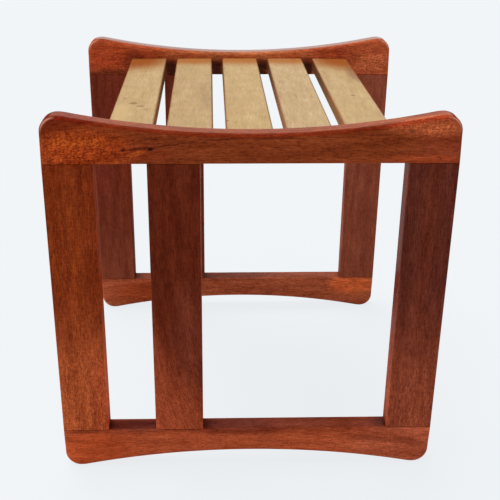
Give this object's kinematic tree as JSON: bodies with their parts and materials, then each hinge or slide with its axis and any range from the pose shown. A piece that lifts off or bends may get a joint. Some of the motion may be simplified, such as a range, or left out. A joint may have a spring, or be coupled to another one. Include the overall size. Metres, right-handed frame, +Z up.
{
  "type": "kneeling bench",
  "caption": "Low wooden kneeling bench: flush leg frames with hollow-curved rails, joined by flat pale seat slats, for kneeling or sitting.",
  "frame": {"origin": "on the floor, under the middle of the bench", "axes": "+X to the right along the rails, +Y from the front frame to the back frame, +Z up"},
  "size_m": [0.45, 0.45, 0.446],
  "materials": {
    "frame_wood": "satin oil, red-brown hardwood",
    "slat_wood": "satin varnish, pale hardwood",
    "dowel_wood": "bare, pale hardwood"
  },
  "bodies": {
    "root": {"front_top_rail": "frame_wood", "back_top_rail": "frame_wood", "front_bottom_rail": "frame_wood", "back_bottom_rail": "frame_wood", "front_left_leg": "frame_wood", "front_middle_post": "frame_wood", "front_right_leg": "frame_wood", "back_left_leg": "frame_wood", "back_middle_post": "frame_wood", "back_right_leg": "frame_wood", "seat_slat_1": "slat_wood", "seat_slat_2": "slat_wood", "seat_slat_3": "slat_wood", "seat_slat_4": "slat_wood", "seat_slat_5": "slat_wood", "front_left_leg_dowels": "dowel_wood", "front_middle_post_dowels": "dowel_wood", "front_right_leg_dowels": "dowel_wood", "back_left_leg_dowels": "dowel_wood", "back_middle_post_dowels": "dowel_wood", "back_right_leg_dowels": "dowel_wood", "seat_slat_1_dowels": "dowel_wood", "seat_slat_2_dowels": "dowel_wood", "seat_slat_3_dowels": "dowel_wood", "seat_slat_4_dowels": "dowel_wood", "seat_slat_5_dowels": "dowel_wood"}
  },
  "joints": []
}
